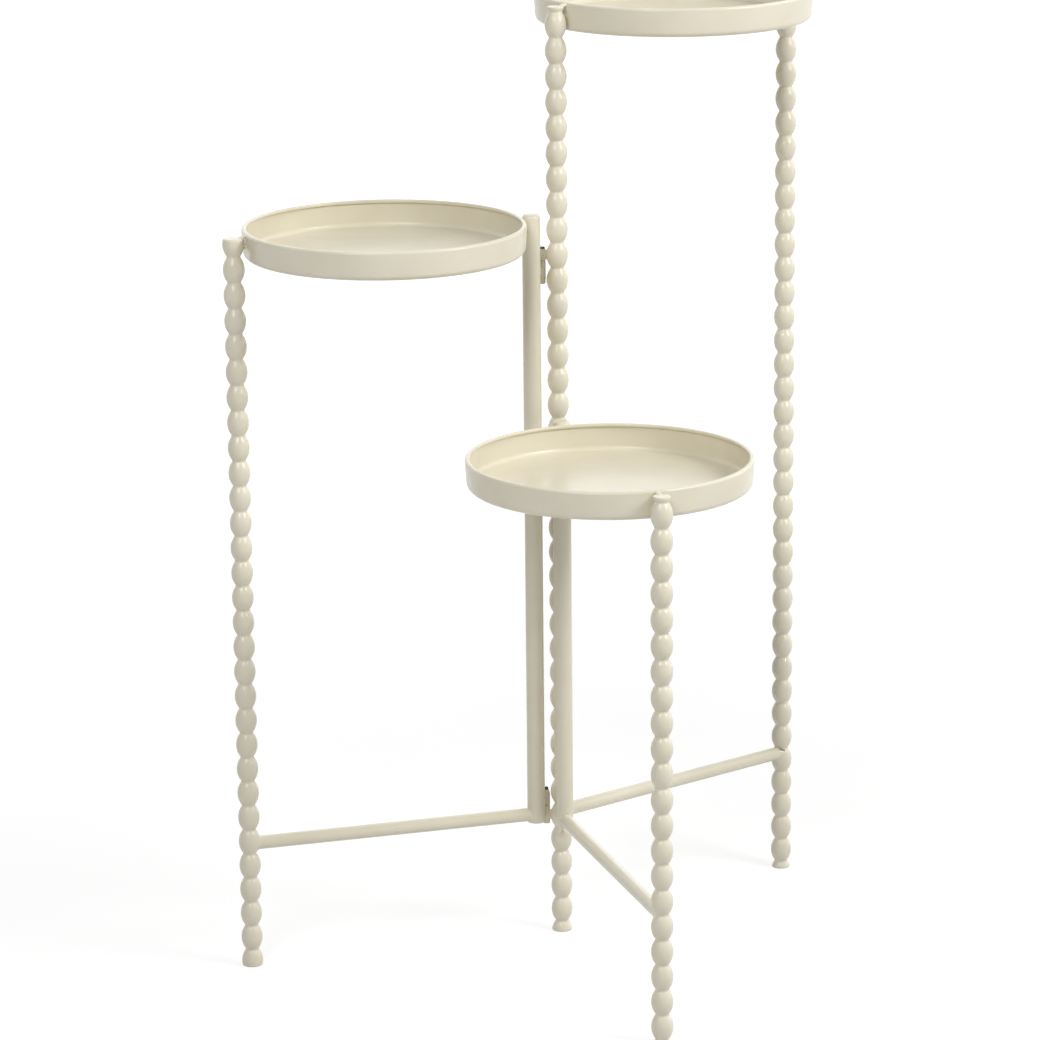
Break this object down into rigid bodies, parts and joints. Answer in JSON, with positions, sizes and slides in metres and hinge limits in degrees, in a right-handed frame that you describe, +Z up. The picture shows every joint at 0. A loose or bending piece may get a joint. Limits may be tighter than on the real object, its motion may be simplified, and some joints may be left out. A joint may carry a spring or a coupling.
{
  "type": "folding plant stand",
  "caption": "Folding plant stand: round shallow trays at stepped heights on beaded legs, with side leaves that swing on pins at a shared leg.",
  "frame": {"origin": "on the centre leg's axis at floor level, at its foot", "axes": "+Z up, +X to the right and +Y away as the picture sees it"},
  "size_m": [0.5186, 0.4935, 0.8485],
  "materials": {
    "cream_paint": "satin powder coat",
    "pin_steel": "dark burnished"
  },
  "bodies": {
    "tall_leaf": {"centre_leg": "cream_paint", "tall_outer_leg": "cream_paint", "tall_leg_plugs": "cream_paint", "tall_tray": "cream_paint", "tall_tray_pegs": "cream_paint", "tall_rim_welds": "cream_paint", "tall_stretcher": "cream_paint", "left_upper_leg_knuckle": "cream_paint", "left_lower_leg_knuckle": "cream_paint", "front_upper_leg_knuckle": "cream_paint", "front_lower_leg_knuckle": "cream_paint"},
    "left_leaf": {"left_outer_leg": "cream_paint", "left_leg_plugs": "cream_paint", "left_inner_post": "cream_paint", "left_post_cap": "cream_paint", "left_tray": "cream_paint", "left_tray_pegs": "cream_paint", "left_rim_weld": "cream_paint", "left_stretcher": "cream_paint", "left_upper_leaf_knuckle": "cream_paint", "left_lower_leaf_knuckle": "cream_paint", "left_upper_pin": "pin_steel", "left_lower_pin": "pin_steel"},
    "front_leaf": {"front_outer_leg": "cream_paint", "front_leg_plugs": "cream_paint", "front_inner_post": "cream_paint", "front_post_cap": "cream_paint", "front_tray": "cream_paint", "front_tray_pegs": "cream_paint", "front_rim_weld": "cream_paint", "front_stretcher": "cream_paint", "front_upper_leaf_knuckle": "cream_paint", "front_lower_leaf_knuckle": "cream_paint", "front_upper_pin": "pin_steel", "front_lower_pin": "pin_steel"}
  },
  "joints": [
    {"name": "left_leaf_swing", "type": "hinge", "parent": "tall_leaf", "child": "left_leaf", "pos_m": [-0.01326, 0.00301, 0.368], "axis": [0, 0, 1], "range_deg": [-152, 25]},
    {"name": "front_leaf_swing", "type": "hinge", "parent": "tall_leaf", "child": "front_leaf", "pos_m": [0.00548, -0.01245, 0.278], "axis": [0, 0, 1], "range_deg": [-25, 100]}
  ]
}
